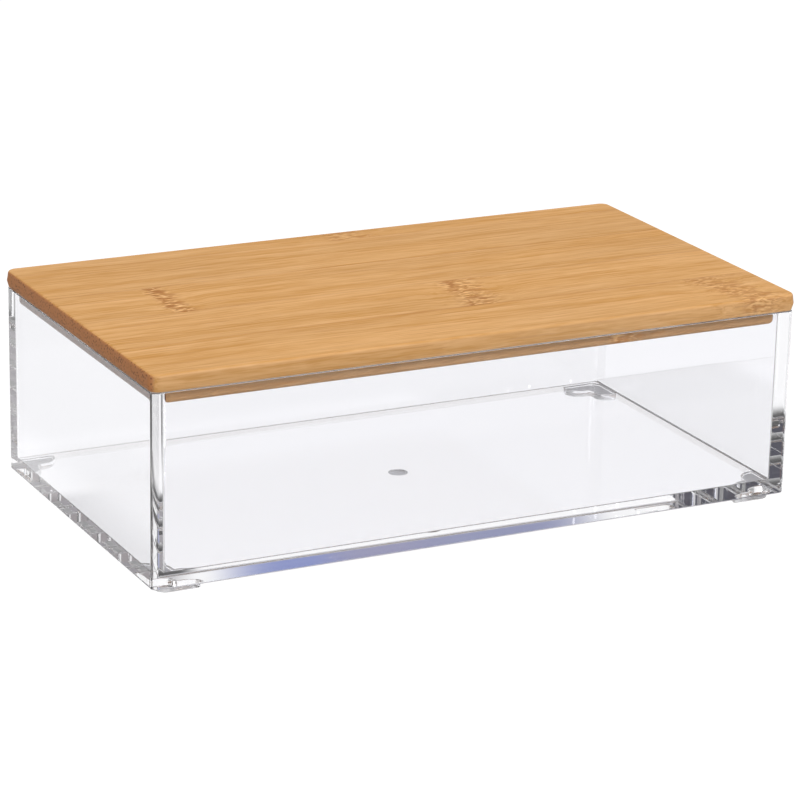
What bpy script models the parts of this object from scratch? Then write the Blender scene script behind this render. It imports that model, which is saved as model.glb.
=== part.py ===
"""Storage box: a clear plastic box with a bamboo lid that drops into its rim.

Lengths are in metres and +Z is up. The origin is under the middle of the box, on the surface that its
feet stand on. +X runs along the length and -Y faces the front.

The box is one plastic moulding: floor, four walls and four feet. The lid is a board glued up from bamboo
strips, with a smaller panel of thinner strips glued under it. The panel drops between the walls and keeps
the lid in place, and the board rests on the rim.
"""

import math

import bmesh
import bpy

# Clear box: outer size without its feet, walls and floor.
BOX_LENGTH = 0.1906
BOX_DEPTH = 0.1056
BOX_HEIGHT = 0.053
WALL_THICKNESS = 0.0038
FLOOR_THICKNESS = 0.0036

# Clear box: rounding of its corners and edges.
OUTER_CORNER_RADIUS = 0.0018
INNER_CORNER_RADIUS = 0.0008
UNDERSIDE_EDGE_RADIUS = 0.0004
FLOOR_FILLET_RADIUS = 0.0005
RIM_EDGE_RADIUS = 0.0003

# Mark where the plastic enters the mould, a shallow round recess under the middle of the floor.
GATE_MARK_DIAMETER = 0.0055
GATE_MARK_DEPTH = 0.0004

# Feet: an L under each corner of the box, moulded with the floor. The width of its arms and the radii of its
# corners are shares of an arm's length.
FOOT_HEIGHT = 0.0021
FOOT_SETBACK = 0.0027
FOOT_ARM_LENGTH = 0.0119
FOOT_WIDTH_SHARE = 0.48
FOOT_HEEL_SHARE = 0.25
FOOT_TIP_SHARE = 0.06
FOOT_TOE_SHARE = 0.4
FOOT_CROTCH_SHARE = 0.08
FOOT_EDGE_RADIUS = 0.0004

# Lid board: it overhangs the walls, and its edge leans out from the top and then in to the rim.
LID_OVERHANG = 0.0005
LID_THICKNESS = 0.0046
LID_CORNER_RADIUS = 0.003
LID_TOP_EDGE_RADIUS = 0.0008
LID_EDGE_LEAN = 0.0003
LID_UNDERCUT_WIDTH = 0.0005
LID_UNDERCUT_HEIGHT = 0.0018

# Locating panel under the lid board.
PANEL_THICKNESS = 0.0043
PANEL_WALL_CLEARANCE = 0.0006
PANEL_CORNER_RADIUS = 0.002
PANEL_EDGE_RADIUS = 0.0012

# Bamboo strips and the glue between them. Whole strips run from the front of the board, and the one at the
# back is trimmed. The panel's seams lie part of a strip along from the board's.
STRIPS_ACROSS = 5
TRIMMED_STRIP_SHARE = 0.365
PANEL_SEAM_SHARE = 0.5
GLUE_GAP = 0.0003

# The lid lies this far above the rim.
SEAT_GAP = 0.0003

# Facets of a quarter turn, and how far a cutter runs past what it cuts.
CORNER_STEPS = 6
EDGE_STEPS = 3
MARK_FACETS = 32
OVERRUN = 0.001

RIM_HEIGHT = FOOT_HEIGHT + BOX_HEIGHT
LID_LENGTH = BOX_LENGTH + 2 * LID_OVERHANG
LID_DEPTH = BOX_DEPTH + 2 * LID_OVERHANG
PANEL_INSET = WALL_THICKNESS + PANEL_WALL_CLEARANCE
STRIP_WIDTH = LID_DEPTH / (STRIPS_ACROSS - 1 + TRIMMED_STRIP_SHARE)


def clear_scene():
    """Remove every object that the scene starts with."""
    for item in list(bpy.data.objects):
        bpy.data.objects.remove(item, do_unlink=True)


def make_material(name, colour, roughness, transmission, ior):
    """Make a Principled material."""
    material = bpy.data.materials.new(name)
    material.use_nodes = True
    shader = material.node_tree.nodes["Principled BSDF"]
    shader.inputs["Base Color"].default_value = (*colour, 1.0)
    shader.inputs["Roughness"].default_value = roughness
    shader.inputs["Metallic"].default_value = 0.0
    shader.inputs["Transmission Weight"].default_value = transmission
    shader.inputs["IOR"].default_value = ior
    material.diffuse_color = (*colour, 1.0 - 0.7 * transmission)
    return material


def add_empty(name, height):
    """Add an empty on the box's upright middle line, to carry the pieces of one body."""
    empty = bpy.data.objects.new(name, None)
    empty.location = (0, 0, height)
    bpy.context.scene.collection.objects.link(empty)
    return empty


def add_object(name, mesh_data, material, parent):
    """Turn a bmesh into a named object under a parent, with its faces pointing out."""
    bmesh.ops.recalc_face_normals(mesh_data, faces=mesh_data.faces)
    mesh = bpy.data.meshes.new(name)
    mesh_data.to_mesh(mesh)
    mesh_data.free()
    item = bpy.data.objects.new(name, mesh)
    bpy.context.scene.collection.objects.link(item)
    if material:
        mesh.materials.append(material)
    if parent:
        item.parent = parent
    return item


def add_boolean(target, tool, operation):
    """Join a tool to the target or cut it out, and hide the tool."""
    tool.hide_render = True
    tool.display_type = "WIRE"
    modifier = target.modifiers.new(tool.name, "BOOLEAN")
    modifier.operation = operation
    modifier.solver = "EXACT"
    modifier.object = tool


def arc(centre, radius, start, end, steps):
    """Points of an arc about a centre, from one angle in degrees to another."""
    points = []
    for step in range(steps + 1):
        angle = math.radians(start + (end - start) * step / steps)
        points.append((centre[0] + radius * math.cos(angle), centre[1] + radius * math.sin(angle)))
    return points


def rounded_rectangle(length, depth, radius):
    """Outline of a rectangle about the origin with round corners, anticlockwise."""
    points = []
    for quarter, (side_x, side_y) in enumerate(((1, 1), (-1, 1), (-1, -1), (1, -1))):
        centre = (side_x * (length / 2 - radius), side_y * (depth / 2 - radius))
        points += arc(centre, radius, 90 * quarter, 90 * quarter + 90, CORNER_STEPS)
    return points


def loft(length, depth, rings):
    """Closed body through level rounded rectangles.

    Each ring is its inset from the outer length and depth, its corner radius and its height. The first
    and the last ring are closed with a flat face.
    """
    body = bmesh.new()
    rows = []
    for inset, radius, height in rings:
        outline = rounded_rectangle(length - 2 * inset, depth - 2 * inset, radius)
        rows.append([body.verts.new((x, y, height)) for x, y in outline])
    for low, high in zip(rows, rows[1:]):
        for index in range(len(low)):
            ahead = (index + 1) % len(low)
            body.faces.new((low[index], low[ahead], high[ahead], high[index]))
    body.faces.new(rows[0])
    body.faces.new(rows[-1])
    return body


def rounded_outline(corners):
    """Outline through corners, each an (x, y) point and the radius that rounds it."""
    points = []
    for index, (corner, radius) in enumerate(corners):
        before = corners[index - 1][0]
        after = corners[(index + 1) % len(corners)][0]
        ways = []
        for other in (before, after):
            reach = math.dist(corner, other)
            ways.append(((other[0] - corner[0]) / reach, (other[1] - corner[1]) / reach))
        opening = math.acos(ways[0][0] * ways[1][0] + ways[0][1] * ways[1][1])
        middle = (ways[0][0] + ways[1][0], ways[0][1] + ways[1][1])
        to_centre = radius / math.sin(opening / 2) / math.hypot(*middle)
        centre = (corner[0] + middle[0] * to_centre, corner[1] + middle[1] * to_centre)
        tangent = radius / math.tan(opening / 2)
        first, last = [
            math.atan2(corner[1] + way[1] * tangent - centre[1], corner[0] + way[0] * tangent - centre[0])
            for way in ways
        ]
        sweep = (last - first + math.pi) % (2 * math.pi) - math.pi
        points += arc(centre, radius, math.degrees(first), math.degrees(first + sweep), CORNER_STEPS)
    return points


def foot_mesh(side_x, side_y):
    """L-shaped foot under one corner, its arms along the two walls and its root inside the floor."""
    heel = FOOT_SETBACK
    tip = FOOT_SETBACK + FOOT_ARM_LENGTH
    inner = FOOT_SETBACK + FOOT_ARM_LENGTH * FOOT_WIDTH_SHARE
    corners = (
        ((heel, heel), FOOT_HEEL_SHARE),
        ((tip, heel), FOOT_TIP_SHARE),
        ((tip, inner), FOOT_TOE_SHARE),
        ((inner, inner), FOOT_CROTCH_SHARE),
        ((inner, tip), FOOT_TOE_SHARE),
        ((heel, tip), FOOT_TIP_SHARE),
    )
    body = bmesh.new()
    sole = []
    for x, y in rounded_outline([(corner, share * FOOT_ARM_LENGTH) for corner, share in corners]):
        sole.append(body.verts.new((side_x * (BOX_LENGTH / 2 - x), side_y * (BOX_DEPTH / 2 - y), 0)))
    face = body.faces.new(sole)
    sole_edges = list(face.edges)
    raised = bmesh.ops.extrude_face_region(body, geom=[face], use_keep_orig=True)["geom"]
    root_height = FOOT_HEIGHT + FLOOR_THICKNESS / 2
    raised_points = [item for item in raised if isinstance(item, bmesh.types.BMVert)]
    bmesh.ops.translate(body, verts=raised_points, vec=(0, 0, root_height))
    bmesh.ops.recalc_face_normals(body, faces=body.faces)
    bmesh.ops.bevel(
        body, geom=sole_edges, offset=FOOT_EDGE_RADIUS, offset_type="OFFSET", segments=2, affect="EDGES",
        profile=0.5,
    )
    return body


def gate_mark_mesh():
    """Round cutter for the recess that the gate leaves under the floor."""
    height = GATE_MARK_DEPTH + OVERRUN
    body = bmesh.new()
    bmesh.ops.create_cone(
        body, cap_ends=True, segments=MARK_FACETS, radius1=GATE_MARK_DIAMETER / 2,
        radius2=GATE_MARK_DIAMETER / 2, depth=height,
    )
    bmesh.ops.translate(body, verts=body.verts, vec=(0, 0, FOOT_HEIGHT + GATE_MARK_DEPTH - height / 2))
    return body


def box_rings():
    """Rings of the box: up the outside, over the rim and down the inside to the floor."""
    floor_top = FOOT_HEIGHT + FLOOR_THICKNESS
    edge = UNDERSIDE_EDGE_RADIUS
    lip = RIM_EDGE_RADIUS
    fillet = FLOOR_FILLET_RADIUS
    rounded_bottom = arc((edge, FOOT_HEIGHT + edge), edge, 270, 180, EDGE_STEPS)
    outer_lip = arc((lip, RIM_HEIGHT - lip), lip, 180, 90, EDGE_STEPS)
    inner_lip = arc((WALL_THICKNESS - lip, RIM_HEIGHT - lip), lip, 90, 0, EDGE_STEPS)
    floor_fillet = arc((WALL_THICKNESS + fillet, floor_top + fillet), fillet, 180, 270, EDGE_STEPS)
    outside = [(inset, OUTER_CORNER_RADIUS, height) for inset, height in rounded_bottom + outer_lip]
    inside = [(inset, INNER_CORNER_RADIUS, height) for inset, height in inner_lip + floor_fillet]
    return outside + inside


def make_clear_box(parent):
    """Box of clear plastic with its feet and the gate's mark."""
    plastic = make_material("clear_polystyrene", (0.93, 0.95, 0.96), 0.04, 1.0, 1.59)
    box = add_object("clear_box", loft(BOX_LENGTH, BOX_DEPTH, box_rings()), plastic, parent)
    for side_x in (-1, 1):
        for side_y in (-1, 1):
            foot = add_object("foot_shape", foot_mesh(side_x, side_y), None, parent)
            add_boolean(box, foot, "UNION")
    mark = add_object("gate_mark_cutter", gate_mark_mesh(), None, parent)
    add_boolean(box, mark, "DIFFERENCE")
    box.data.shade_smooth()
    box.data.set_sharp_from_angle(angle=math.radians(35))
    return box


def board_rings():
    """Rings of the lid board, from its underside at height zero to its top."""
    edge = LID_TOP_EDGE_RADIUS
    top_edge = arc((LID_EDGE_LEAN + edge, LID_THICKNESS - edge), edge, 180, 90, EDGE_STEPS)
    profile = [(LID_UNDERCUT_WIDTH, 0), (0, LID_UNDERCUT_HEIGHT)] + top_edge
    return [(inset, LID_CORNER_RADIUS, height) for inset, height in profile]


def panel_rings():
    """Rings of the locating panel, from its rounded lower edge up to the glue at height zero."""
    edge = PANEL_EDGE_RADIUS
    bottom = -PANEL_THICKNESS
    profile = arc((edge, bottom + edge), edge, 270, 180, EDGE_STEPS) + [(0, -GLUE_GAP)]
    return [(inset, PANEL_CORNER_RADIUS, height) for inset, height in profile]


def strip_seams(first_strip_share):
    """Places of the glued seams across the lid, whole strips apart, after a first strip of this share."""
    first = STRIP_WIDTH * first_strip_share - LID_DEPTH / 2
    return [first + STRIP_WIDTH * index for index in range(STRIPS_ACROSS - 1)]


def keep_side(body, place, facing):
    """Cut a body at a depth, keep the side behind the cut and close it with a flat face."""
    geometry = list(body.verts) + list(body.edges) + list(body.faces)
    cut = bmesh.ops.bisect_plane(
        body, geom=geometry, plane_co=(0, place, 0), plane_no=(0, facing, 0), clear_outer=True,
    )["geom_cut"]
    bmesh.ops.contextual_create(body, geom=[item for item in cut if isinstance(item, bmesh.types.BMEdge)])


def make_strips(name, length, depth, rings, seams, material, parent):
    """Make one board as separate bamboo strips, numbered from the front."""
    ends = [-depth / 2] + seams + [depth / 2]
    for index, (front, back) in enumerate(zip(ends, ends[1:])):
        body = loft(length, depth, rings)
        if index > 0:
            keep_side(body, front + GLUE_GAP / 2, -1)
        if index < len(seams):
            keep_side(body, back - GLUE_GAP / 2, 1)
        middle = (front + back) / 2
        bmesh.ops.translate(body, verts=body.verts, vec=(0, -middle, 0))
        strip = add_object(f"{name}_{index + 1}", body, material, parent)
        strip.location = (0, middle, 0)
        strip.data.shade_smooth()
        strip.data.set_sharp_from_angle(angle=math.radians(35))


def make_lid(parent):
    """Lid board and locating panel, each of bamboo strips, with the panel's seams half a strip along."""
    board_bamboo = make_material("bamboo_board", (0.66, 0.37, 0.15), 0.45, 0.0, 1.5)
    panel_bamboo = make_material("bamboo_panel", (0.60, 0.34, 0.15), 0.5, 0.0, 1.5)
    make_strips(
        "lid_board_strip", LID_LENGTH, LID_DEPTH, board_rings(), strip_seams(1), board_bamboo, parent,
    )
    panel_length = BOX_LENGTH - 2 * PANEL_INSET
    panel_depth = BOX_DEPTH - 2 * PANEL_INSET
    panel_seams = strip_seams(PANEL_SEAM_SHARE)
    make_strips(
        "lid_panel_strip", panel_length, panel_depth, panel_rings(), panel_seams, panel_bamboo, parent,
    )


def main():
    """Build the box and its lid."""
    clear_scene()
    make_clear_box(add_empty("box", 0))
    make_lid(add_empty("lid", RIM_HEIGHT + SEAT_GAP))


main()
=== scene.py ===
"""Looks of a storage box: a clear plastic box with a bamboo strip lid, and the studio they stand in.

Lengths are in metres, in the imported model's frame: the origin is under the middle of the box, on the floor
that it stands on, +X runs along its length, -Y faces the front and +Z is up. A name that ends in _mm is in
millimetres, for patterns only.
"""

import logging
import math
from dataclasses import dataclass
from enum import Enum, IntEnum
from functools import partial

import bpy
import numpy as np
from bpy.types import Material, Mesh, Node, NodeSocket, NodeTree, Object, World
from mathutils import Matrix, Vector
from mathutils.geometry import tessellate_polygon


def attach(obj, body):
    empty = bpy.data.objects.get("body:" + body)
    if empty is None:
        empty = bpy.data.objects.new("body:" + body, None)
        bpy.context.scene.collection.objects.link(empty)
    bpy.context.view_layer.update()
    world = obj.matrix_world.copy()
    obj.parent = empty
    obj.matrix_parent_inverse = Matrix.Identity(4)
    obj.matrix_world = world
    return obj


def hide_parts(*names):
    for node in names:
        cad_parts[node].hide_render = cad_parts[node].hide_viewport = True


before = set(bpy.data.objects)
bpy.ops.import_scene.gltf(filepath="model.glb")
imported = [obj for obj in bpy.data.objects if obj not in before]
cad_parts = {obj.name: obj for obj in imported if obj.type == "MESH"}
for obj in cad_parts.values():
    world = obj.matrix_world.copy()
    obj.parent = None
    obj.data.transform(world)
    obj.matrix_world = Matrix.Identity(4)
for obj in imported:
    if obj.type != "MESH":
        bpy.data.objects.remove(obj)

LOG = logging.getLogger("storage_box")
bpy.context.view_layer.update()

MM = 0.001
WELD_STEP = 1e-7
QUARTER_STEPS = 12
FILLET_STEPS = 8
ROOT_STEPS = 3
SOLE_STEPS = 4

Array = np.ndarray
Socket = NodeSocket
Source = NodeSocket | Node
Pair = tuple[float, float]
Triple = tuple[float, float, float]


class Quarter(Enum):
    """Quarter turn of a rounded corner, as the angles in degrees that it runs through, anticlockwise."""

    BACK_RIGHT = (0.0, 90.0)
    BACK_LEFT = (90.0, 180.0)
    FRONT_LEFT = (180.0, 270.0)
    FRONT_RIGHT = (270.0, 360.0)


# Lines, and the surfaces that they make


def arc(centre: Pair, radius: float, start: float, end: float, steps: int) -> tuple[Array, Array]:
    """Points of an arc: centre + radius times (cosine, sine) of evenly spaced angles.

    Args:
        centre: middle of the arc.
        radius: its radius.
        start: first angle in degrees.
        end: last angle in degrees.
        steps: how many straight edges it has.

    Returns:
        The points, and the unit directions from the centre to them.
    """
    angles = np.radians(np.linspace(start, end, steps + 1))
    directions = np.stack([np.cos(angles), np.sin(angles)], axis=1)
    return np.asarray(centre) + radius * directions, directions


@dataclass(frozen=True)
class Path:
    """Line in a plane, kept as straight edges.

    Attributes:
        points: where each edge starts and ends, shaped (edges, 2, 2).
        normals: the surface's direction at those points, same shape.
        ways: the way in which those points move when the path grows outwards, same shape.
    """

    points: Array
    normals: Array
    ways: Array

    @classmethod
    def through(
        cls, points: Array, normals: Array, ways: Array | None = None, closed: bool = False,
    ) -> "Path":
        """Edges through points in order, each from one point to the next.

        Args:
            points: points shaped (n, 2).
            normals: surface directions at them, same shape.
            ways: outward ways at them, or None where they are the normals.
            closed: whether the last point joins the first.

        Returns:
            The path.
        """
        ways = normals if ways is None else ways
        pairs = []
        for values in (points, normals, ways):
            values = np.asarray(values, float)
            if closed:
                values = np.vstack([values, values[:1]])
            pairs.append(np.stack([values[:-1], values[1:]], axis=1))
        return cls(*pairs)

    def part(self, first: int, end: int | None = None) -> "Path":
        """Path of the edges from a first one up to, and without, an end one."""
        return Path(self.points[first:end], self.normals[first:end], self.ways[first:end])

    def offset(self, inset: float) -> Array:
        """Start points of the edges, moved by an inset against their ways."""
        return self.points[:, 0] - inset * self.ways[:, 0]


def rounded_rectangle(length: float, depth: float, radius: float) -> Path:
    """Closed outline of a rectangle about the origin, with each corner a quarter circle."""
    runs = []
    for quarter in Quarter:
        middle = np.radians(np.mean(quarter.value))
        side = np.sign(np.cos(middle)), np.sign(np.sin(middle))
        centre = (side[0] * (length / 2 - radius), side[1] * (depth / 2 - radius))
        runs.append(arc(centre, radius, *quarter.value, QUARTER_STEPS))
    points, normals = (np.vstack(part) for part in zip(*runs))
    return Path.through(points, normals, closed=True)


def level(points: Array, height: float) -> Array:
    """Points of a plane lifted to a height, shaped (..., 3)."""
    return np.concatenate([points, np.full(points.shape[:-1] + (1,), height)], axis=-1)


def carry(profile: Path, outline: Path) -> tuple[Array, Array]:
    """Surface of a profile carried along an outline.

    A profile point is (inset, height). The surface's point is the outline's point, moved by the inset against
    its way and lifted to the height. The surface's normal is the outline's normal times the profile normal's
    part against the inset, with the profile normal's upward part as its height.

    Args:
        profile: the profile's edges.
        outline: the outline's edges.

    Returns:
        Corners and corner normals of the four-sided faces, each shaped (faces, 4, 3).
    """
    corners, normals = [], []
    for low, ahead in ((0, 0), (0, 1), (1, 1), (1, 0)):
        inset, height = profile.points[:, None, low, 0, None], profile.points[:, None, low, 1, None]
        inwards, upwards = profile.normals[:, None, low, 0, None], profile.normals[:, None, low, 1, None]
        flat = outline.points[None, :, ahead] - inset * outline.ways[None, :, ahead]
        facing = -inwards * outline.normals[None, :, ahead]
        corners.append(np.concatenate([flat, np.broadcast_to(height, flat.shape[:2] + (1,))], axis=-1))
        normals.append(np.concatenate([facing, np.broadcast_to(upwards, flat.shape[:2] + (1,))], axis=-1))
    return tuple(np.stack(part, axis=2).reshape(-1, 4, 3) for part in (corners, normals))


class Skin:
    """Faces of one closed piece, gathered as arrays and welded into a mesh."""

    def __init__(self) -> None:
        """Start with no faces."""
        self.patches: list[tuple[Array, Array, int]] = []

    def add(self, corners: Array, normals: Array | Triple, finish: int = 0) -> None:
        """Add faces, turned so that they face along their normals.

        Args:
            corners: face corners, shaped (faces, corners, 3).
            normals: corner normals of the same shape, or one for all.
            finish: index of the material.
        """
        corners = np.array(corners, float)
        normals = np.array(np.broadcast_to(np.asarray(normals, float), corners.shape))
        facing = np.cross(corners, np.roll(corners, -1, axis=1)).sum(axis=1)
        turned = np.einsum("fi,fi->f", facing, normals.mean(axis=1)) < 0
        corners[turned] = corners[turned, ::-1]
        normals[turned] = normals[turned, ::-1]
        self.patches.append((corners, normals, finish))

    def fill(self, rim: Array, holes: list[Array], height: float, normal: Triple) -> None:
        """Add a level face inside a rim and outside its holes, as triangles.

        Args:
            rim: outer points, shaped (n, 2).
            holes: points of each hole.
            height: height of the face.
            normal: the way it faces.
        """
        loops = [level(np.asarray(loop), height) for loop in [rim, *holes]]
        triangles = np.array(tessellate_polygon([[Vector(point) for point in loop] for loop in loops]))
        self.add(np.vstack(loops)[triangles], normal)

    def mesh(self, name: str) -> Mesh:
        """Weld the faces at shared corners and give every corner its own normal.

        Args:
            name: name of the mesh.

        Returns:
            The mesh.
        """
        corners = np.vstack([patch[0].reshape(-1, 3) for patch in self.patches])
        normals = np.vstack([patch[1].reshape(-1, 3) for patch in self.patches])
        _, first, index = np.unique(
            np.round(corners / WELD_STEP).astype(np.int64), axis=0, return_index=True, return_inverse=True,
        )
        index = index.reshape(-1)
        faces, finishes, start = [], [], 0
        for patch, _, finish in self.patches:
            count = patch.shape[0] * patch.shape[1]
            faces += index[start:start + count].reshape(patch.shape[:2]).tolist()
            finishes += [finish] * patch.shape[0]
            start += count
        mesh = bpy.data.meshes.new(name)
        mesh.from_pydata(corners[first].tolist(), [], faces)
        mesh.polygons.foreach_set("material_index", finishes)
        mesh.shade_smooth()
        lengths = np.linalg.norm(normals, axis=1, keepdims=True)
        mesh.normals_split_custom_set((normals / lengths).tolist())
        mesh.update()
        return mesh


def add_object(name: str, data: bpy.types.ID) -> Object:
    """Put data in the scene as a new object."""
    item = bpy.data.objects.new(name, data)
    bpy.context.scene.collection.objects.link(item)
    return item


def place_piece(name: str, mesh: Mesh, body: str, slot: str, node: str) -> Object:
    """Put a finished mesh in the scene, on its body, in place of its CAD node.

    Args:
        name: name of the piece.
        mesh: its mesh, already where it belongs.
        body: CAD body that it rides on.
        slot: material slot of the record; not used.
        node: CAD node that it stands for.

    Returns:
        The piece.
    """
    piece = add_object(name, mesh)
    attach(piece, body)
    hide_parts(node)
    LOG.info("%s: %d vertices, %d faces, on %s", name, len(mesh.vertices), len(mesh.polygons), body)
    return piece


# Materials


SMOOTH = {"interpolation_type": "SMOOTHSTEP"}
COLOURS = {"data_type": "RGBA"}
WHITE = (1.0, 1.0, 1.0, 1.0)
ASIDE_MM = 9.0
NOISE_ROUGHNESS = 0.55


def linear(colour: str) -> tuple[float, float, float, float]:
    """Linear colour of an sRGB hex value such as c08040, by the standard's two-part curve."""
    parts = np.array([int(colour[index:index + 2], 16) for index in (0, 2, 4)]) / 255
    curve = np.where(parts <= 0.04045, parts / 12.92, ((parts + 0.055) / 1.055) ** 2.4)
    return (*curve.tolist(), 1.0)


def add_node(
    tree: NodeTree, kind: str, settings: dict[str, object] | str | None = None,
    inputs: dict[str | int, object] | None = None,
) -> Node:
    """Add a node with its settings, values and links.

    Args:
        tree: node tree that it goes into.
        kind: type of node, without its ShaderNode prefix.
        settings: properties to set, or the name of its operation.
        inputs: for each input by name or number, its value, the output to link to it, or the node whose
            first output to link.

    Returns:
        The node.
    """
    node = tree.nodes.new("ShaderNode" + kind)
    if isinstance(settings, str):
        settings = {"operation": settings}
    for name, value in (settings or {}).items():
        setattr(node, name, value)
    for name, value in (inputs or {}).items():
        if isinstance(value, Node):
            value = value.outputs[0]
        if isinstance(value, Socket):
            tree.links.new(value, node.inputs[name])
        else:
            node.inputs[name].default_value = value
    return node


def clear_nodes(owner: Material | World) -> partial:
    """Clear the nodes of a material or world, and give the function that adds new ones."""
    owner.use_nodes = True
    owner.node_tree.nodes.clear()
    return partial(add_node, owner.node_tree)


@dataclass(frozen=True)
class ClearPolystyrene:
    """Crystal polystyrene, injected into a polished mould.

    It is as clear as glass and bends light a little more, so walls vanish and only their ends, corners and
    the rim show, as grey and white bands.
    """

    name: str = "clear_polystyrene"
    tint: str = "fdfdff"
    roughness: float = 0.0
    ior: float = 1.59

    def material(self) -> Material:
        """Material of the clear walls; a lamp's shadow rays pass through it."""
        material = bpy.data.materials.new(self.name)
        add = clear_nodes(material)
        plastic = add("BsdfPrincipled", inputs={
            "Base Color": linear(self.tint), "Roughness": self.roughness, "IOR": self.ior,
            "Transmission Weight": 1.0,
        })
        clear = add("BsdfTransparent")
        path = add("LightPath")
        mix = add("MixShader", inputs={"Fac": path.outputs["Is Shadow Ray"], 1: plastic, 2: clear})
        add("OutputMaterial", inputs={"Surface": mix})
        return material


@dataclass(frozen=True)
class Knuckle:
    """Band across a strip where the bamboo stem had a cross wall, so its fibres curl and darken.

    Attributes:
        centre_mm: place of the band along X, at Y 0.
        width_mm: how wide the band is along X.
        slant: how far it leans along X for each step along Y.
        strength: how dark its curls are, from 0 to 1.
    """

    centre_mm: float = 0.0
    width_mm: float = 8.0
    slant: float = 0.0
    strength: float = 0.0


@dataclass(frozen=True)
class Fibres:
    """Streaks along the strip.

    Attributes:
        long_mm: how long a streak is.
        wide_mm: how wide it is, across and through the strip.
        low: level of the noise below which there is no streak.
        high: level above which it is full.
        curl: how far the streaks curl, in their own widths.
        detail: how much finer structure they have.
    """

    long_mm: float
    wide_mm: float
    low: float = 0.3
    high: float = 0.7
    curl: float = 0.0
    detail: float = 1.0

    def lay(self, add: partial, place: Source, shift_mm: float) -> Node:
        """Lay the streaks: smooth noise stretched to their size, then sharpened between its two levels.

        Args:
            add: adds a node to the material.
            place: place on the strip in millimetres.
            shift_mm: moves the streaks along the strip.

        Returns:
            Strength of the streaks, from 0 to 1.
        """
        stretched = add("Mapping", inputs={
            "Vector": place, "Location": (shift_mm / self.long_mm, shift_mm / ASIDE_MM, self.wide_mm),
            "Scale": (1 / self.long_mm, 1 / self.wide_mm, 1 / self.wide_mm),
        })
        noise = add("TexNoise", inputs={
            "Vector": stretched, "Scale": 1.0, "Detail": self.detail, "Roughness": NOISE_ROUGHNESS,
            "Distortion": self.curl,
        })
        return add("MapRange", SMOOTH, {"Value": noise, "From Min": self.low, "From Max": self.high})


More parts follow.
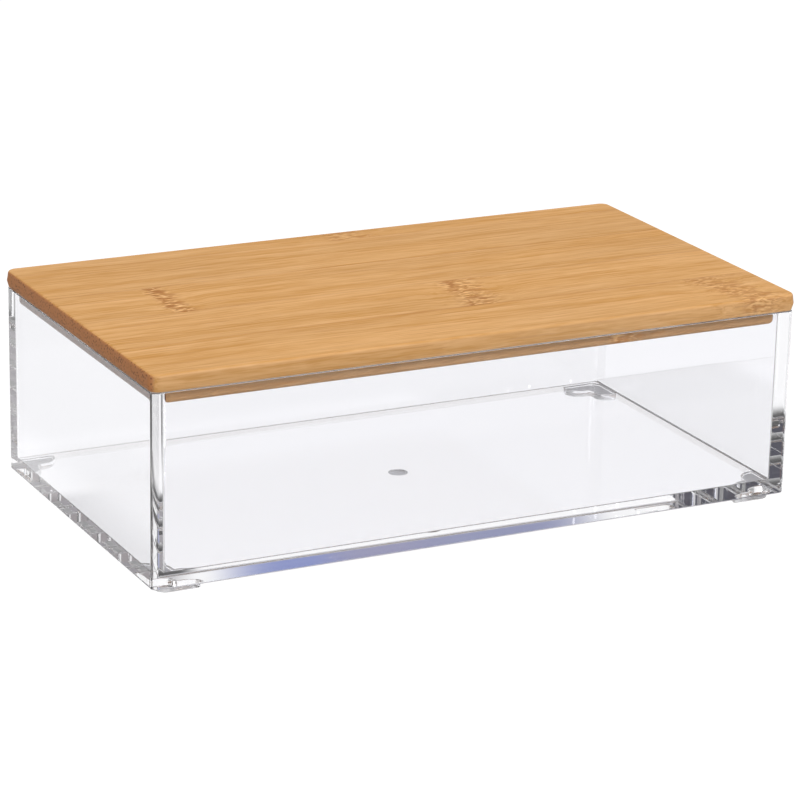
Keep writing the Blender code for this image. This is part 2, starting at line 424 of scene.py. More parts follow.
@dataclass(frozen=True)
class Bamboo:
    """Steamed bamboo strip, planed, sanded fine and thinly oiled.

    Its vascular bundles run lengthwise as fine lines a little darker than the honey-coloured tissue between
    them, curl at a knuckle, and show at the sawn ends as a crowd of dark dots. The oil leaves it nearly matt.

    Attributes:
        light, dark: colours of tissue and fibres.
        fleck, pale: colours of the darkest fibres and of the ridges between a knuckle's curls.
        end, end_dot: colours of tissue and bundles at a sawn end.
        shift_mm: moves the pattern, so that no two strips are alike.
        tone, drift_tone: factor on the colour, and those between which it drifts.
        painted_edge_sheen: how far the long edges are mixed towards white, as painted sheen.
        seam_mm, seam_strength, seam_reach_mm: where along Y a seam is dark, how much, and its soft edge.
        waver_mm, swerve_mm, swerve_reach: how far a knuckle's edges waver, how far the fibres swerve at it
            and far from it, and the half widths of the knuckle between which they calm down.
        meander_mm: how far the fibres meander all along.
        fine_share, hair_share: shares of fine fibres and of hairs.
        streak_strength, shade_strength: how dark are the darkest streaks, and the knuckle all over.
        rise, fade: where the knuckle's curls rise and fade, in half widths from its middle.
        line, line_strength: place, half width and darkness of the broken line at its left edge.
        sawn_facing: how much a face has to look along X to show its sawn end.
        bundle_mm, crowd, dot_edge: cells that hold a bundle each there, strength of the dots where they are
            sparse and dense, and outer and inner edge of a dot as shares of its cell.
        relief, relief_mm: strength and height of the bump.
    """

    name: str
    light: str = "e3b075"
    dark: str = "c2862f"
    fleck: str = "a8691f"
    pale: str = "f2c283"
    end: str = "bd7c48"
    end_dot: str = "6e401f"
    shift_mm: float = 0.0
    tone: float = 1.0
    painted_edge_sheen: float = 0.055
    knuckle: Knuckle = Knuckle()
    seam_mm: float = 0.0
    seam_strength: float = 0.0
    seam_reach_mm: Pair = (0.9, 0.15)
    waver_mm: float = 2.4
    swerve_mm: Pair = (2.6, 0.3)
    swerve_reach: Pair = (0.8, 4.0)
    meander_mm: float = 1.6
    fine_share: float = 0.5
    hair_share: float = 0.34
    streak_strength: float = 0.28
    rise: Pair = (-1.9, -0.8)
    fade: Pair = (1.25, -0.3)
    line: Pair = (-0.9, 0.1)
    line_strength: float = 0.6
    shade_strength: float = 0.16
    drift_tone: Pair = (0.965, 1.03)
    sawn_facing: Pair = (0.55, 0.85)
    bundle_mm: Triple = (20.0, 0.8, 0.8)
    crowd: Pair = (0.3, 0.85)
    dot_edge: Pair = (0.45, 0.2)
    relief: float = 0.2
    relief_mm: float = 0.06
    roughness: float = 0.56
    ior: float = 1.5
    specular: float = 0.2
    meander: Fibres = Fibres(75.0, 18.0)
    twist: Fibres = Fibres(7.0, 3.5, 0.2, 0.8, detail=2.0)
    broad: Fibres = Fibres(120.0, 4.2)
    fine: Fibres = Fibres(34.0, 0.95, detail=2.0)
    hairs: Fibres = Fibres(8.0, 0.5)
    dark_streaks: Fibres = Fibres(24.0, 0.75, 0.58, 0.74)
    curls: Fibres = Fibres(3.6, 0.95, 0.56, 0.40, curl=1.1)
    ridges: Fibres = Fibres(3.6, 0.95, 0.52, 0.68, curl=1.1)
    gaps: Fibres = Fibres(2.6, 2.2, 0.36, 0.56)
    patches: Fibres = Fibres(7.0, 7.0, 0.3, 0.6)
    drift: Fibres = Fibres(70.0, 16.0)

    def material(self) -> Material:
        """Material of one strip, in millimetres along, across and through the lid."""
        material = bpy.data.materials.new(self.name)
        add = clear_nodes(material)
        place = add("TexCoord")
        mm = add("VectorMath", "SCALE", {0: place.outputs["Object"], "Scale": 1 / MM})
        share, bent = self.bend(add, mm)
        colour, tissue, curls = self.grain(add, mm, bent, share)

        # The long edges are cut through the strip's thickness; their colour is mixed towards white as painted
        # sheen.
        facing = add("VectorMath", "ABSOLUTE", {0: place.outputs["Normal"]})
        facing = add("SeparateXYZ", inputs={0: facing}).outputs
        sawn = add("MapRange", SMOOTH, {
            "Value": facing[0], "From Min": self.sawn_facing[0], "From Max": self.sawn_facing[1],
        })
        colour = add("Mix", COLOURS, {0: sawn, 6: colour, 7: self.sawn_end(add, mm)}).outputs[2]
        painted_sheen = add("Math", "MULTIPLY", {0: facing[1], 1: self.painted_edge_sheen})
        colour = add("Mix", COLOURS, {0: painted_sheen, 6: colour, 7: WHITE}).outputs[2]

        height = add("Math", "SUBTRACT", {0: tissue, 1: curls})
        depth = self.relief_mm * MM
        bump = add("Bump", inputs={"Strength": self.relief, "Distance": depth, "Height": height})
        shader = add("BsdfPrincipled", inputs={
            "Base Color": colour, "Roughness": self.roughness, "IOR": self.ior,
            "Specular IOR Level": self.specular, "Normal": bump,
        })
        add("OutputMaterial", inputs={"Surface": shader})
        return material

    def bend(self, add: partial, mm: Source) -> tuple[Node, Node]:
        """Bend the place on the strip, so that the fibres meander all along and swerve near the knuckle.

        Args:
            add: adds a node to the material.
            mm: place in millimetres.

        Returns:
            Where a point lies across the knuckle, -1 at its wavering left edge and 1 at its right, and the
            bent place.
        """
        knuckle = self.knuckle
        wander = self.twist.lay(add, mm, self.shift_mm)
        along = add("VectorMath", "DOT_PRODUCT", {0: mm, 1: (1.0, -knuckle.slant, 0.0)})
        along = add("Math", "MULTIPLY_ADD", {0: wander, 1: self.waver_mm, 2: along.outputs["Value"]})
        middle, half = knuckle.centre_mm + self.waver_mm / 2, knuckle.width_mm / 2
        share = add("MapRange", {"clamp": False}, {
            "Value": along, "From Min": middle - half, "From Max": middle + half, "To Min": -1.0,
        })
        away = add("Math", "ABSOLUTE", {0: share})
        swerve = add("MapRange", SMOOTH, {
            "Value": away, "From Min": self.swerve_reach[0], "From Max": self.swerve_reach[1],
            "To Min": self.swerve_mm[0] * min(1.0, 2 * knuckle.strength), "To Max": self.swerve_mm[1],
        })
        swerve = add("CombineXYZ", inputs={1: swerve})
        bent = add("VectorMath", "MULTIPLY_ADD", {0: wander, 1: swerve, 2: mm})
        bent = add("VectorMath", "MULTIPLY_ADD", {
            0: self.meander.lay(add, mm, self.shift_mm), 1: (0.0, self.meander_mm, 0.0), 2: bent,
        })
        return share, bent

    def grain(self, add: partial, mm: Source, bent: Source, share: Source) -> tuple[Node, Node, Node]:
        """Colour of the planed faces: tissue and fibres, the knuckle, and the glue line.

        The knuckle is strongest at its left edge and fades to the right, with curls, pale ridges and a broken
        line. The glue line shows dark where it wasn't pressed quite shut.

        Args:
            add: adds a node to the material.
            mm: place in millimetres.
            bent: place with the fibres' bends.
            share: where a point lies across the knuckle.

        Returns:
            The colour, the strength of the tissue, and that of the curls.
        """
        shift = self.shift_mm
        broad, fine, hairs = (kind.lay(add, bent, shift) for kind in (self.broad, self.fine, self.hairs))
        tissue = add("Mix", inputs={0: self.fine_share, 2: broad, 3: fine})
        tissue = add("Mix", inputs={0: self.hair_share, 2: tissue, 3: hairs})
        colour = add("Mix", COLOURS, {0: tissue, 6: linear(self.dark), 7: linear(self.light)}).outputs[2]

        band = self.knuckle.strength
        for start, end in (self.rise, self.fade):
            reach = {"Value": share, "From Min": start, "From Max": end, "To Max": band}
            band = add("MapRange", SMOOTH, reach)
        line = add("Math", "COMPARE", {0: share, 1: self.line[0], 2: self.line[1]})
        seam = add("SeparateXYZ", inputs={0: mm}).outputs[1]
        seam = add("Math", "SUBTRACT", {0: seam, 1: self.seam_mm})
        seam = add("Math", "ABSOLUTE", {0: seam})
        seam = add("MapRange", SMOOTH, {
            "Value": seam, "From Min": self.seam_reach_mm[0], "From Max": self.seam_reach_mm[1],
            "To Max": self.drift.lay(add, mm, -shift),
        })
        gaps = self.gaps.lay(add, mm, shift)
        broken = add("Math", "MULTIPLY", {0: line, 1: gaps})
        stains = (
            (self.dark_streaks.lay(add, bent, shift), self.streak_strength, self.fleck),
            (band, self.shade_strength, self.fleck),
            (self.curls.lay(add, mm, shift), band, self.fleck),
            (broken, self.line_strength * self.knuckle.strength, self.fleck),
            (seam, self.seam_strength, self.fleck),
            (self.ridges.lay(add, mm, shift), band, self.pale),
        )
        strengths = []
        for pattern, factor, stain in stains:
            strength = add("Math", "MULTIPLY", {0: pattern, 1: factor})
            colour = add("Mix", COLOURS, {0: strength, 6: colour, 7: linear(stain)}).outputs[2]
            strengths.append(strength)
        low, high = (tone * self.tone for tone in self.drift_tone)
        drift = self.drift.lay(add, mm, shift)
        drift = add("MapRange", inputs={"Value": drift, "To Min": low, "To Max": high})
        colour = add("VectorMath", "SCALE", {0: colour, "Scale": drift})
        return colour, tissue, strengths[2]

    def sawn_end(self, add: partial, mm: Source) -> Socket:
        """Colour of a sawn end, which faces along X: dark dots half a millimetre across, crowded in places.

        Args:
            add: adds a node to the material.
            mm: place in millimetres.

        Returns:
            The colour.
        """
        cells = add("Mapping", inputs={"Vector": mm, "Scale": tuple(1 / size for size in self.bundle_mm)})
        bundles = add("TexVoronoi", {"feature": "F1"}, {"Vector": cells, "Scale": 1.0})
        patches = self.patches.lay(add, mm, self.shift_mm)
        crowd = add("MapRange", inputs={"Value": patches, "To Min": self.crowd[0], "To Max": self.crowd[1]})
        dots = add("MapRange", SMOOTH, {
            "Value": bundles, "From Min": self.dot_edge[0], "From Max": self.dot_edge[1], "To Max": crowd,
        })
        return add("Mix", COLOURS, {0: dots, 6: linear(self.end), 7: linear(self.end_dot)}).outputs[2]


# Clear box


class Surface(IntEnum):
    """Surface of the moulding, as the number of its material."""

    POLISHED = 0
    GATE_MARK = 1
    SHADED_SOLE = 2
    SHADED_LOWER_EDGE = 3


@dataclass
class ClearBox:
    """One moulding of clear plastic: floor, four walls, four feet and the gate's mark.

    Its finishes are numbered as Surface says: all is polished but the gate mark, the soles, and the round
    edge under the walls. The soles and that edge are tinted grey as painted shade: the contact shade under
    the feet and the grey line along the bottom of the walls.
    """

    length: float = 0.1906
    depth: float = 0.1056
    rim_height: float = 0.0551
    wall: float = 0.0038
    floor_bottom: float = 0.0021
    floor_top: float = 0.0057
    outer_corner: float = 0.0018
    inner_corner: float = 0.0008
    underside_edge: float = 0.0004
    floor_fillet: float = 0.0005
    rim_edge: float = 0.0003
    foot_setback: float = 0.0027
    foot_arm_length: float = 0.0119
    foot_arm_width: float = 0.0057
    foot_heel: float = 0.003
    foot_tip: float = 0.0007
    foot_toe: float = 0.0048
    foot_crotch: float = 0.001
    foot_edge: float = 0.0004
    foot_root: float = 0.0003
    gate_radius: float = 0.00275
    gate_depth: float = 0.0004
    gate_share: float = 0.96
    finishes: tuple[ClearPolystyrene, ...] = (
        ClearPolystyrene(),
        ClearPolystyrene("clear_polystyrene_gate_mark", "70707a", 0.35),
        # Dark grey soles: painted shade where the feet meet the floor.
        ClearPolystyrene("clear_polystyrene_sole_painted_shade", "3c3c44", 0.3),
        # Grey, dull round edge under the walls: painted shade for the grey line along the bottom.
        ClearPolystyrene("clear_polystyrene_lower_edge_painted_shade", "b4b4bc", 0.5),
    )

    def outside_profile(self) -> Path:
        """Profile of the outside: round lower edge, upright wall, outer edge of the rim."""
        edge, lip = self.underside_edge, self.rim_edge
        lower = arc((edge, self.floor_bottom + edge), edge, 270, 180, FILLET_STEPS)
        upper = arc((lip, self.rim_height - lip), lip, 180, 90, FILLET_STEPS)
        return Path.through(np.vstack([lower[0], upper[0]]), np.vstack([lower[1], upper[1]]))

    def inside_profile(self) -> Path:
        """Profile of the inside, inset from the inner wall: edge of the rim, wall, hollow to the floor."""
        lip, hollow = self.rim_edge, self.floor_fillet
        upper = arc((-lip, self.rim_height - lip), lip, 90, 0, FILLET_STEPS)
        lower = arc((hollow, self.floor_top + hollow), hollow, 180, 270, FILLET_STEPS)
        return Path.through(np.vstack([upper[0], lower[0]]), np.vstack([upper[1], -lower[1]]))

    def foot_profile(self) -> Path:
        """Profile of a foot, down from a small hollow under the floor to the round edge of its sole."""
        root, edge = self.foot_root, self.foot_edge
        upper = arc((-root, self.floor_bottom - root), root, 90, 0, ROOT_STEPS)
        lower = arc((edge, edge), edge, 180, 270, SOLE_STEPS)
        return Path.through(np.vstack([upper[0], lower[0]]), np.vstack([-upper[1], lower[1]]))

    def foot_outline(self, side_x: int, side_y: int) -> Path:
        """L-shaped outline of the foot under one corner, its corners rounded.

        Each corner's arc touches both of its sides: its centre lies on the line that halves the corner, and
        the points are centre + radius times a direction, which is also the way out at an outer corner and
        the way in at the inner one.

        Args:
            side_x: -1 for the left corners, 1 for the right.
            side_y: -1 for the front corners, 1 for the back.

        Returns:
            The closed outline.
        """
        heel, inner = self.foot_setback, self.foot_setback + self.foot_arm_width
        tip = self.foot_setback + self.foot_arm_length
        corners = (
            ((heel, heel), self.foot_heel, (1, 1), (270, 180)),
            ((heel, tip), self.foot_tip, (1, -1), (180, 90)),
            ((inner, tip), self.foot_toe, (-1, -1), (90, 0)),
            ((inner, inner), self.foot_crotch, (1, 1), (180, 270)),
            ((tip, inner), self.foot_toe, (-1, -1), (90, 0)),
            ((tip, heel), self.foot_tip, (-1, 1), (0, -90)),
        )
        points, normals = [], []
        for corner, radius, inwards, angles in corners:
            centre = np.add(corner, np.multiply(inwards, radius))
            spots, directions = arc(centre, radius, *angles, FILLET_STEPS)
            points.append(spots)
            normals.append(-directions if angles == (180, 270) else directions)
        turn = np.array([side_x, side_y])
        places = turn * (np.array([self.length, self.depth]) / 2 - np.vstack(points))
        return Path.through(places, -turn * np.vstack(normals), closed=True)

    def build(self) -> Object:
        """Make the moulding as one closed skin.

        Returns:
            The piece.
        """
        skin = Skin()
        outer = rounded_rectangle(self.length, self.depth, self.outer_corner)
        inner = rounded_rectangle(self.length - 2 * self.wall, self.depth - 2 * self.wall, self.inner_corner)
        outside = self.outside_profile()
        # The round lower edge takes the grey, dull finish: painted shade for the grey line along the bottom.
        skin.add(*carry(outside.part(0, FILLET_STEPS), outer), finish=Surface.SHADED_LOWER_EDGE)
        skin.add(*carry(outside.part(FILLET_STEPS), outer))
        skin.add(*carry(self.inside_profile(), inner))
        rim_outside, rim_inside = outer.offset(self.rim_edge), inner.offset(-self.rim_edge)
        ring = [rim_outside, np.roll(rim_outside, -1, axis=0), np.roll(rim_inside, -1, axis=0), rim_inside]
        skin.add(level(np.stack(ring, axis=1), self.rim_height), (0, 0, 1))
        skin.add(level(inner.offset(self.floor_fillet), self.floor_top)[None], (0, 0, 1))

        holes = []
        for side_x in (-1, 1):
            for side_y in (-1, 1):
                outline = self.foot_outline(side_x, side_y)
                skin.add(*carry(self.foot_profile(), outline))
                # The soles take the dark grey finish: painted shade where the feet meet the floor.
                skin.add(level(outline.offset(self.foot_edge), 0.0)[None], (0, 0, -1), finish=Surface.SHADED_SOLE)
                holes.append(outline.offset(-self.foot_root))

        # The gate leaves a shallow dish, rougher than the rest.
        circle = arc((0, 0), self.gate_radius, 0, 360, 4 * QUARTER_STEPS)
        gate = Path.through(circle[0], circle[1])
        dish_points, _ = arc((0, 0), 1.0, 180, 90, FILLET_STEPS)
        radii = (1 + dish_points[:, 0]) * self.gate_radius * self.gate_share
        heights = self.floor_bottom + dish_points[:, 1] * self.gate_depth
        slopes = np.gradient(heights, radii)
        lean = np.stack([slopes, -np.ones_like(slopes)], axis=1)
        lean /= np.linalg.norm(lean, axis=1, keepdims=True)
        dish = Path.through(np.stack([radii, heights], axis=1), lean)
        skin.add(*carry(dish, gate), finish=Surface.GATE_MARK)
        skin.add(level(gate.offset(radii[-1]), heights[-1])[None], (0, 0, -1), finish=Surface.GATE_MARK)
        holes.append(gate.points[:, 0])
        underside = outer.offset(outside.points[0, 0, 0])
        skin.fill(underside, holes, self.floor_bottom, (0, 0, -1))

        mesh = skin.mesh("clear_box_moulding")
        for finish in self.finishes:
            mesh.materials.append(finish.material())
        return place_piece("clear_box_moulding", mesh, "box", "clear_plastic", "clear_box")


# Bamboo lid


@dataclass
class StripBoard:
    """Board glued up from bamboo strips that lie along X, numbered from the front.

    Attributes:
        node: start of the CAD nodes' names.
        slot: material slot of the record.
        length: widest length.
        depth: widest depth.
        corner: radius of its corners, seen from above.
        profile: profile of its edge, as (inset, height), from below to above.
        seams: places of the seams along Y.
        finishes: the strips' bamboo, from the front.
        glue: width of the glue line between strips.
    """

    node: str
    slot: str
    length: float
    depth: float
    corner: float
    profile: Path
    seams: tuple[float, ...]
    finishes: tuple[Bamboo, ...]
    glue: float = 0.00004

    def edges(self, front: float | None, back: float | None) -> list[Path]:
        """Runs of the board's outline that one strip has.

        Args:
            front: place of the strip's front seam, or None where the strip is the front one.
            back: place of its back seam, or None where it is the back one.

        Returns:
            The runs, anticlockwise: each ends at a seam.
        """
        half_length, half_depth, radius = self.length / 2, self.depth / 2, self.corner
        if front is not None and back is not None:
            left = Path.through([(-half_length, back), (-half_length, front)], [(-1, 0), (-1, 0)])
            right = Path.through([(half_length, front), (half_length, back)], [(1, 0), (1, 0)])
            return [left, right]
        side = -1 if front is None else 1
        seam = back if front is None else front
        first = Quarter.FRONT_LEFT if front is None else Quarter.BACK_RIGHT
        second = Quarter.FRONT_RIGHT if front is None else Quarter.BACK_LEFT
        along, across = side * (half_length - radius), side * (half_depth - radius)
        one = arc((along, across), radius, *first.value, QUARTER_STEPS)
        two = arc((-along, across), radius, *second.value, QUARTER_STEPS)
        points = np.vstack([[(side * half_length, seam)], one[0], two[0], [(-side * half_length, seam)]])
        normals = np.vstack([[(side, 0)], one[1], two[1], [(-side, 0)]])
        return [Path.through(points, normals)]

    def strip(self, index: int) -> Object:
        """Make one strip as a closed skin: its part of the edge, its seams, its top and its underside.

        Args:
            index: number of the strip, 0 at the front.

        Returns:
            The piece.
        """
        front = self.seams[index - 1] + self.glue / 2 if index else None
        back = self.seams[index] - self.glue / 2 if index < len(self.seams) else None
        runs = self.edges(front, back)
        skin = Skin()
        for run in runs:
            skin.add(*carry(self.profile, run))
        for run, after in zip(runs, runs[1:] + runs[:1]):
            start, end = run.points[-1, 1], after.points[0, 0]
            facing = (0, 1) if back is not None and np.isclose(start[1], back) else (0, -1)
            seam = Path.through([start, end], [facing, facing], [run.ways[-1, 1], after.ways[0, 0]])
            skin.add(carry(self.profile, seam)[0], (*facing, 0))
        for ring, normal in ((0, (0, 0, -1)), (-1, (0, 0, 1))):
            inset, height = self.profile.points[ring, ring, :]
            ends = [run.points[-1:, 1] - inset * run.ways[-1:, 1] for run in runs]
            loop = [part for run, end in zip(runs, ends) for part in (run.offset(inset), end)]
            skin.add(level(np.vstack(loop), height)[None], normal)
        name = f"{self.node}_{index + 1}"
        mesh = skin.mesh(name + "_bamboo")
        mesh.materials.append(self.finishes[index].material())
        return place_piece(name + "_bamboo", mesh, "lid", self.slot, name)


@dataclass
class BambooLid:
    """Lid: a board that rests on the rim, and a panel under it that drops between the walls."""

    board_length: float = 0.1916
    board_depth: float = 0.1066
    board_bottom: float = 0.0554
    board_top: float = 0.0600
    board_corner: float = 0.003
    top_arris: float = 0.0008
    edge_lean: float = 0.0003
    undercut_width: float = 0.0005
    undercut_height: float = 0.0018
    panel_length: float = 0.1818
    panel_depth: float = 0.0968
    panel_bottom: float = 0.0511
    panel_corner: float = 0.002
    panel_edge: float = 0.0012
    glue_under_board: float = 0.00004
    strips: int = 5
    trimmed_share: float = 0.365
    board_seam_share: float = 1.0
    panel_seam_share: float = 0.5
    widest_tilt: float = 0.2
    panel_knuckles_mm: tuple[float, ...] = (45.0, -28.0, 63.0, -70.0, 15.0)
    panel_shifts_mm: tuple[float, ...] = (95.0, 305.0, 515.0, 725.0, 935.0)

    def seams(self, first_share: float) -> tuple[float, ...]:
        """Places of the seams along Y: whole strips apart after a first strip of this share."""
        width = self.board_depth / (self.strips - 1 + self.trimmed_share)
        return tuple((first_share + index) * width - self.board_depth / 2 for index in range(self.strips - 1))

    def board_profile(self) -> Path:
        """Edge of the board: in to the rim below, widest under its middle, leaning in to a round arris."""
        widest = (0.0, self.board_bottom + self.undercut_height)
        arris, low = self.top_arris, (self.undercut_width, self.board_bottom)
        above = arc((self.edge_lean + arris, self.board_top - arris), arris, 180, 90, FILLET_STEPS)
        under = np.array([-self.undercut_height, -self.undercut_width])
        under /= np.linalg.norm(under)
        normals = np.vstack([[under, under * (1, self.widest_tilt)], above[1]])
        return Path.through(np.vstack([[low, widest], above[0]]), normals)

    def panel_profile(self) -> Path:
        """Edge of the panel: round below and upright above."""
        edge = self.panel_edge
        below = arc((edge, self.panel_bottom + edge), edge, 270, 180, FILLET_STEPS)
        top = [(0.0, self.board_bottom - self.glue_under_board)]
        return Path.through(np.vstack([below[0], top]), np.vstack([below[1], [(-1, 0)]]))

    def board_finishes(self) -> tuple[Bamboo, ...]:
        """Bamboo of the board's strips, from the front, with the knuckle and the darkest seam of each."""
        seams = [seam / MM for seam in self.seams(self.board_seam_share)]
        return (
            Bamboo("bamboo_board_strip_1", shift_mm=0.0, knuckle=Knuckle(74.0, 12.5, -0.25, 0.6),
                   seam_mm=seams[0], seam_strength=0.3),
            Bamboo("bamboo_board_strip_2", shift_mm=310.0, knuckle=Knuckle(17.5, 10.5, 0.155, 0.85),
                   seam_mm=seams[0], seam_strength=0.5),
            Bamboo("bamboo_board_strip_3", shift_mm=740.0, knuckle=Knuckle(-64.6, 6.4, 0.0, 1.0),
                   seam_mm=seams[1], seam_strength=0.5),
            Bamboo("bamboo_board_strip_4", shift_mm=1190.0, tone=0.985, seam_mm=seams[2], seam_strength=0.4),
            Bamboo("bamboo_board_strip_5", shift_mm=1530.0, knuckle=Knuckle(9.3, 13.0, 0.0, 0.55),
                   seam_mm=seams[3], seam_strength=0.3),
        )

    def panel_finishes(self) -> tuple[Bamboo, ...]:
        """Bamboo of the panel's strips, a little duller than the board's, with sawn ends painted darker as
        painted shade.
        """
        places = zip(self.panel_knuckles_mm, self.panel_shifts_mm)
        return tuple(
            Bamboo(
                # The sawn ends are darker than the board's: painted shade under the board.
                f"bamboo_panel_strip_{index + 1}", light="b89166", dark="a07546", end="7a4c30",
                end_dot="40261a", shift_mm=shift, tone=0.97, painted_edge_sheen=0.0,
                knuckle=Knuckle(place, width_mm=9.0, strength=0.6),
            )
            for index, (place, shift) in enumerate(places)
        )

    def build(self) -> list[Object]:
        """Make the board's strips and the panel's strips.

        Returns:
            The pieces.
        """
        board = StripBoard(
            "lid_board_strip", "bamboo_board", self.board_length, self.board_depth, self.board_corner,
            self.board_profile(), self.seams(self.board_seam_share), self.board_finishes(),
        )
        panel = StripBoard(
            "lid_panel_strip", "bamboo_panel", self.panel_length, self.panel_depth, self.panel_corner,
            self.panel_profile(), self.seams(self.panel_seam_share), self.panel_finishes(),
        )
        return [layer.strip(index) for layer in (board, panel) for index in range(self.strips)]


# Studio


@dataclass(frozen=True)
class Card:
    """Card or flag around the set, as light meets it after a long way inside the plastic.

    Attributes:
        name: what it stands for.
        azimuth: degrees to the right of looking along +Y.
        elevation: degrees above the level.
        inner: degrees from its middle within which it is all there is.
        outer: degrees from its middle past which nothing of it is left.
        colour: its colour.
    """

    name: str
    azimuth: float
    elevation: float
    inner: float
    outer: float
    colour: str

    def towards(self) -> Triple:
        """Direction of its middle."""
        turn, rise = math.radians(self.azimuth), math.radians(self.elevation)
        return (math.sin(turn) * math.cos(rise), math.cos(turn) * math.cos(rise), math.sin(rise))


@dataclass(frozen=True)
class SoftBox:
    """Square soft lamp that faces the object.

    Attributes:
        name: its name.
        place: where it hangs.
        size: its side.
        power: its power in watts.
        aim: what it faces.
    """

    name: str
    place: Triple
    size: float
    power: float
    aim: Triple = (0.0, 0.0, 0.03)

    def build(self) -> None:
        """Hang the lamp."""
        light = bpy.data.lights.new(self.name, "AREA")
        light.shape, light.size, light.energy = "SQUARE", self.size, self.power
        lamp = add_object(self.name, light)
        lamp.location = self.place
        lamp.rotation_euler = (Vector(self.place) - Vector(self.aim)).to_track_quat("Z", "Y").to_euler()


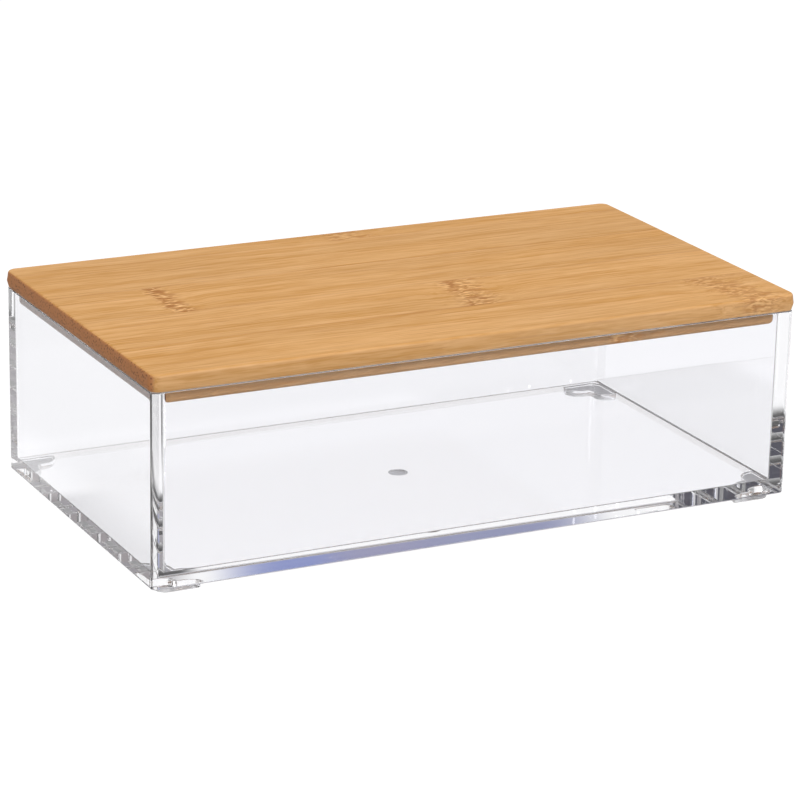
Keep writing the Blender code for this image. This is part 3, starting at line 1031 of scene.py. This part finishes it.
@dataclass
class Studio:
    """White paper floor, white backdrop, soft lamps and, for the edges of the plastic, the darker room.

    The picture shows white around the object and straight through it. Light that the walls have trapped
    leaves them in other directions, where a studio is dark, so it shows the edges grey. Glossy depth tells
    it apart: light was mirrored at least once if it is over the limit once, and trapped if over often.
    """

    floor_size: float = 8.0
    floor_level: float = -0.00005
    floor_glow: float = 0.97
    floor_share: float = 0.10
    floor_light: float = 0.3
    shade_glow: float = 0.03
    shade_size: Pair = (0.125, 0.0535)
    shade_reach: Pair = (0.006, 0.016)
    behind: Pair = (0.025, 0.035)
    shadow_end: Pair = (0.070, 0.060)
    left_shadow: Pair = (-0.052, -0.060)
    right_shadow: Pair = (0.035, 0.045)
    dark_front: Pair = (-0.06, -0.07)
    dark_left: Pair = (-0.10, -0.12)
    under_glow: float = 0.3
    front_glow: float = 0.2
    left_glow: float = 0.75
    room_light: float = 0.62
    room_white: float = 1.04
    room_grey: str = "a39fa3"
    once: float = 0.5
    often: float = 2.5
    bounces: int = 48
    lamps: tuple[SoftBox, ...] = (
        SoftBox("soft_box_above", (-0.3, -0.2, 1.5), 1.2, 5.5),
        SoftBox("soft_box_front", (0.0, -1.4, 0.75), 0.7, 9.9),
    )
    cards: tuple[Card, ...] = (
        Card("backdrop", 20.0, 22.0, 36.0, 56.0, "ffffff"),
        Card("grey_side_of_backdrop", 20.4, 20.0, 2.2, 2.9, "a5a2a5"),
        Card("blue_gap_left", 25.3, 20.85, 0.3, 1.9, "8c96c8"),
        Card("blue_gap_middle", 26.9, 20.55, 0.5, 1.6, "9a9ab8"),
        Card("blue_gap_right", 28.8, 20.25, 0.3, 1.9, "9498b8"),
        Card("dark_end", 34.5, 19.5, 2.3, 3.2, "5a5c66"),
        Card("dark_side_of_room", -32.0, 15.0, 34.0, 50.0, "50505a"),
        Card("brown_stand", -29.0, 19.0, 1.0, 3.0, "7d6560"),
        Card("pale_stand", -24.0, 17.0, 0.5, 1.5, "b9bac4"),
    )

    def seen(self, add: partial) -> Node:
        """1 for camera, glossy and transmission rays, which all show the white background, else 0."""
        path = add("LightPath")
        total = add("Math", "ADD", {0: path.outputs["Is Camera Ray"], 1: path.outputs["Is Glossy Ray"]})
        return add("Math", {"operation": "ADD", "use_clamp": True}, {
            0: total, 1: path.outputs["Is Transmission Ray"],
        })

    def mirrored(self, add: partial, times: float) -> Node:
        """1 for light that the plastic has mirrored more often than this, else 0."""
        return add("Math", "GREATER_THAN", {0: add("LightPath").outputs["Glossy Depth"], 1: times})

    def turned_back(self, add: partial) -> Node:
        """1 for light that was mirrored an odd number of times, so that it leaves turned back, else 0."""
        return add("Math", "MODULO", {0: add("LightPath").outputs["Glossy Depth"], 1: 2.0})

    def add_floor(self) -> None:
        """Level white floor: a glow that makes it white to the eye, and a share of true shade.

        The room in front and at the left is dark, so mirrored light finds little glow on the floor there. It
        finds little under the box too, and next to none in two shadows close behind the box: one behind its
        left end, and one behind its right end for light that comes turned back.
        """
        half = self.floor_size / 2
        corners = [(-half, -half), (half, -half), (half, half), (-half, half)]
        mesh = bpy.data.meshes.new("studio_floor")
        mesh.from_pydata([(*corner, self.floor_level) for corner in corners], [], [(0, 1, 2, 3)])
        material = bpy.data.materials.new("matt_white_paper")
        add = clear_nodes(material)
        place = add("TexCoord").outputs["Object"]
        along, across, _ = add("SeparateXYZ", inputs={0: place}).outputs
        outside = add("VectorMath", "ABSOLUTE", {0: place})
        outside = add("VectorMath", "SUBTRACT", {0: outside, 1: (*self.shade_size, 1.0)})
        outside = add("SeparateXYZ", inputs={0: outside}).outputs
        outside = add("Math", "MAXIMUM", {0: outside[0], 1: outside[1]})
        reaches = (
            (outside, self.shade_reach), (along, self.left_shadow), (along, self.right_shadow),
            (across, self.behind), (across, self.shadow_end), (across, self.dark_front),
            (along, self.dark_left),
        )
        clear, at_left, at_right, behind, close, front, left = (
            add("MapRange", SMOOTH, {"Value": value, "From Min": start, "From Max": end})
            for value, (start, end) in reaches
        )
        shadow = add("Mix", inputs={0: self.turned_back(add), 2: at_left, 3: at_right})
        shadow = add("Math", "MULTIPLY", {0: shadow, 1: close})
        dark = add("Math", "MAXIMUM", {0: front, 1: left})
        glow = self.floor_glow

        # Each step mixes two glows by a share: under the box, in the shadows behind it, in the dark room.
        under = add("Mix", inputs={0: clear, 2: self.under_glow, 3: glow})
        shaded = add("Mix", inputs={0: shadow, 2: glow, 3: self.shade_glow})
        near = add("Mix", inputs={0: behind, 2: under, 3: shaded})
        once = add("Mix", inputs={0: left, 2: near, 3: self.left_glow})
        once = add("Mix", inputs={0: front, 2: once, 3: self.front_glow})
        often = add("Mix", inputs={0: dark, 2: near, 3: self.front_glow})
        eye = add("Mix", inputs={0: self.mirrored(add, self.once), 2: glow, 3: once})
        eye = add("Mix", inputs={0: self.mirrored(add, self.often), 2: eye, 3: often})
        share = add("Mix", inputs={0: self.seen(add), 2: self.floor_light, 3: eye})
        light = add("Emission", inputs={"Color": WHITE, "Strength": share})
        paper = add("BsdfDiffuse", inputs={"Color": (self.floor_share,) * 3 + (1,)})
        both = add("AddShader", inputs={0: light, 1: paper})
        add("OutputMaterial", inputs={"Surface": both})
        mesh.materials.append(material)
        floor = add_object("studio_floor", mesh)

    def add_world(self) -> None:
        """Surroundings: white to the eye and straight through the plastic, softer as light on the object."""
        world = bpy.data.worlds.new("studio_room")
        bpy.context.scene.world = world
        add = clear_nodes(world)
        towards = add("TexCoord").outputs["Generated"]
        room = linear(self.room_grey)
        for card in self.cards:
            nearness = add("VectorMath", "DOT_PRODUCT", {0: towards, 1: card.towards()})
            share = add("MapRange", SMOOTH, {
                "Value": nearness.outputs["Value"], "From Min": math.cos(math.radians(card.outer)),
                "From Max": math.cos(math.radians(card.inner)),
            })
            room = add("Mix", COLOURS, {0: share, 6: room, 7: linear(card.colour)}).outputs[2]
        white, soft = ((level,) * 3 + (1,) for level in (self.room_white, self.room_light))
        eye = add("Mix", COLOURS, {0: self.mirrored(add, self.often), 6: white, 7: room}).outputs[2]
        light = add("Mix", COLOURS, {0: self.seen(add), 6: soft, 7: eye}).outputs[2]
        background = add("Background", inputs={"Color": light, "Strength": 1.0})
        add("OutputWorld", inputs={"Surface": background})

    def build(self) -> None:
        """Make the studio."""
        self.add_floor()
        self.add_world()
        for lamp in self.lamps:
            lamp.build()


@dataclass(frozen=True)
class PhotoCamera:
    """Camera of the photograph, fitted to the corners of the lid, the rim and the underside.

    Attributes:
        azimuth: degrees to the left of looking along +Y.
        elevation: degrees above the level.
        roll: degrees by which the picture is turned.
        distance: from the aim along the line of sight.
        aim_height: height of the aim over the origin.
        slide: moves the camera along the picture's right and up.
        lens: focal length in millimetres.
        sensor: width of the picture in the camera, in millimetres.
        clip: nearest and farthest distance that it sees.
    """

    azimuth: float = -26.826
    elevation: float = 18.105
    roll: float = 1.201
    distance: float = 0.94303
    aim_height: float = 0.0297
    slide: Pair = (0.0008, -0.00392)
    lens: float = 152.49
    sensor: float = 36.0
    clip: Pair = (0.01, 50.0)

    def build(self) -> Object:
        """Make the camera and choose it.

        Returns:
            The camera.
        """
        turn, tilt, roll = (math.radians(angle) for angle in (self.azimuth, self.elevation, self.roll))
        back = Vector((math.sin(turn) * math.cos(tilt), -math.cos(turn) * math.cos(tilt), math.sin(tilt)))
        right = Vector((math.cos(turn), math.sin(turn), 0))
        up = back.cross(right)
        across = math.cos(roll) * right + math.sin(roll) * up
        upright = -math.sin(roll) * right + math.cos(roll) * up
        place = Vector((0, 0, self.aim_height)) + self.distance * back
        place += self.slide[0] * across + self.slide[1] * upright
        data = bpy.data.cameras.new("photo_camera")
        data.sensor_width, data.lens = self.sensor, self.lens
        data.clip_start, data.clip_end = self.clip
        camera = add_object("photo_camera", data)
        turned = Matrix((across, upright, back)).transposed().to_4x4()
        camera.matrix_world = Matrix.Translation(place) @ turned
        bpy.context.scene.camera = camera
        return camera


def main() -> None:
    """Build the box, the lid, the studio and the camera, and note the sizes."""
    logging.basicConfig(level=logging.INFO, format="%(name)s: %(message)s")
    ClearBox().build()
    BambooLid().build()
    Studio().build()
    PhotoCamera().build()
    scene = bpy.context.scene
    scene.view_settings.view_transform = "Standard"
    cycles = scene.cycles
    cycles.max_bounces = cycles.transmission_bounces = cycles.glossy_bounces = Studio.bounces


if __name__ == "__main__":
    main()
